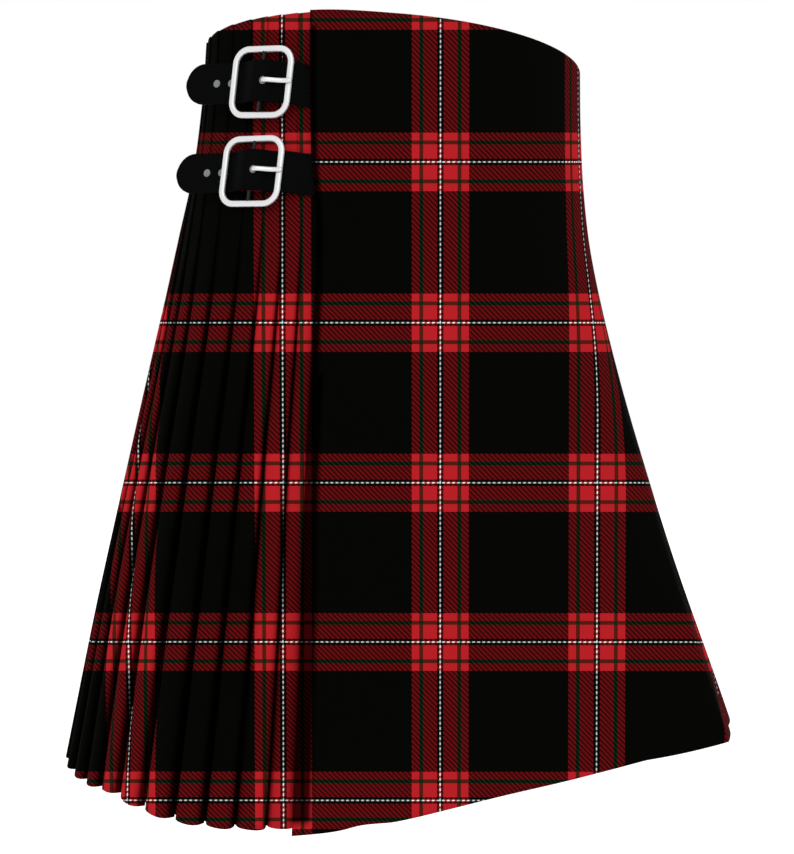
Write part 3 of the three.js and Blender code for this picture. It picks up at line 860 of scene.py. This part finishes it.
def blackened_steel():
    """The centre bar's oiled black steel."""
    steel = Finish("blackened_steel", Metallic=0.2, Specular_IOR_Level=0.2)
    oil = steel.noise(700.0, 3.0)
    steel.feed(Base_Color=steel.tinted((0.012, 0.012, 0.013, 1), 0.7 + 0.6 * oil), Roughness=0.4 + 0.2 * oil)
    return steel.material


def centre_bar(fastening):
    mesh = bmesh.new()
    bmesh.ops.create_cone(mesh, segments=20, radius1=CENTRE_BAR_R * MM, radius2=CENTRE_BAR_R * MM,
                          depth=(FRAME_HEIGHT - 1.6 * END_BAR) * MM, cap_ends=True)
    mesh.transform(fastening.matrix(FRAME_OUT) @ Matrix.Rotation(math.pi / 2, 4, "X"))
    return finished(f"{fastening.name}_centre_bar", mesh, BLACK_STEEL, [])


NICKEL = nickel()
BLACK_STEEL = blackened_steel()
for fastening in fastenings:
    buckle(fastening)
    centre_bar(fastening)


# ---- Prongs ----
# A round-ended nickel bar, hooked on the buckle's centre bar. It comes up through the strap's hole and
# rests on the side bar next to the apron.

PRONG_WIDE = 3.8
PRONG_THICK = 2.4
PRONG_OVER = 1.8
PRONG_STEPS = 40
PRONG_SIDES = 16
PRONG_END = 0.06  # the share of its length over which each end rounds off


def prong(fastening):
    top = FRAME_OUT + FRAME_THICK / 2 + STRAP_CLEAR + PRONG_THICK / 2
    crest = FRAME_OUT + CENTRE_BAR_R + STRAP_THICK + CHAPE_PLY + 3 * STRAP_CLEAR + PRONG_THICK / 2
    hole, end = HOLES[0], -(FRAME_LENGTH / 2 + PRONG_OVER)
    path = [
        fastening.at(hole + 1.0, 0, FRAME_OUT),
        fastening.at(hole + 0.6, 0, crest - 2.2),
        fastening.at(hole - 0.8, 0, crest - 0.3),
        fastening.at(hole - 4.0, 0, crest),
        fastening.at(end + SIDE_BAR + 4, 0, top + 0.2),
        fastening.at(end, 0, top),
    ]
    places = [k / PRONG_STEPS for k in range(PRONG_STEPS + 1)]
    points, _ = curved(path, places)
    mesh = bmesh.new()
    bmesh.ops.create_grid(mesh, x_segments=PRONG_STEPS, y_segments=PRONG_SIDES, size=1)
    for vertex in mesh.verts:
        station = round((1 + vertex.co.x) / 2 * PRONG_STEPS)
        turn = (1 + vertex.co.y) * math.pi
        last, following = max(station - 1, 0), min(station + 1, PRONG_STEPS)
        tangent = (points[following] - points[last]).normalized()
        out = tangent.cross(fastening.up).normalized()
        near_end = max(1 - min(places[station], 1 - places[station]) / PRONG_END, 0)
        full = math.sqrt(max(1 - near_end * near_end, 0))
        across = fastening.up * math.cos(turn) * PRONG_WIDE / 2 * full * MM
        vertex.co = points[station] + across + out * math.sin(turn) * PRONG_THICK / 2 * full * MM
    bmesh.ops.remove_doubles(mesh, verts=mesh.verts, dist=1e-6)
    bmesh.ops.recalc_face_normals(mesh, faces=mesh.faces)
    return finished(f"{fastening.name}_prong_metal", mesh, NICKEL,
                    [f"{fastening.name}_prong"])


for fastening in fastenings:
    prong(fastening)


# ---- Chapes ----
# The short leather loop that holds each buckle by its centre bar. It is slotted for the prong and sewn
# flat to the pleats under the strap.

for fastening in fastenings:
    chape = bpy.data.objects[f"{fastening.name}_chape"]
    for slot in chape.material_slots:
        slot.material = LEATHER


# ---- Room, lights and camera ----
# A white room with a plain pale floor well below the hanging kilt, and soft daylight from all round.

FLOOR = -1.25
FLOOR_REACH = 12.0


def floor():
    mesh = bmesh.new()
    bmesh.ops.create_circle(mesh, cap_ends=True, segments=64, radius=FLOOR_REACH)
    bmesh.ops.translate(mesh, verts=mesh.verts, vec=(0, 0, FLOOR))
    pale = Finish("pale_floor", Base_Color=(0.9, 0.9, 0.9, 1), Roughness=1.0, Specular_IOR_Level=0.0)
    pale.shader.inputs["Emission Color"].default_value = (1, 1, 1, 1)
    pale.shader.inputs["Emission Strength"].default_value = 0.3
    data = bpy.data.meshes.new("floor")
    mesh.to_mesh(data)
    mesh.free()
    data.materials.append(pale.material)
    laid = bpy.data.objects.new("floor", data)
    bpy.context.collection.objects.link(laid)


def sun(name, turn, height, strength, spread):
    """A soft sun, placed by its turn from the centre front towards the wearer's right."""
    light = bpy.data.lights.new(name, "SUN")
    light.energy = strength
    light.angle = math.radians(spread)
    lamp = bpy.data.objects.new(name, light)
    bpy.context.collection.objects.link(lamp)
    turn, height = math.radians(turn), math.radians(height)
    towards = Vector((
        -math.sin(turn) * math.cos(height), -math.cos(turn) * math.cos(height), math.sin(height)
    ))
    lamp.rotation_euler = towards.to_track_quat("Z", "Y").to_euler()


floor()
sun("key_light", 58, 30, 0.5, 25)
sun("fill_light", 5, 15, 0.2, 60)

world = bpy.data.worlds.new("daylight")
world.use_nodes = True
world.node_tree.nodes["Background"].inputs["Color"].default_value = (1.0, 1.0, 1.0, 1)
world.node_tree.nodes["Background"].inputs["Strength"].default_value = 1.0
bpy.context.scene.world = world
bpy.context.scene.view_settings.view_transform = "Standard"

LENS = 49.8
camera_data = bpy.data.cameras.new("camera")
camera_data.lens = LENS
camera_data.sensor_width = 36
camera = bpy.data.objects.new("camera", camera_data)
bpy.context.collection.objects.link(camera)
eye = Vector((-math.sin(EYE_TURN), -math.cos(EYE_TURN), 0)) * EYE_AWAY * MM
eye.z = EYE_HEIGHT * MM
aim = Vector((-0.0015, 0.0011, (EYE_HEIGHT - 20.5) * MM))
camera.location = eye
camera.rotation_euler = (eye - aim).to_track_quat("Z", "Y").to_euler()
bpy.context.scene.camera = camera
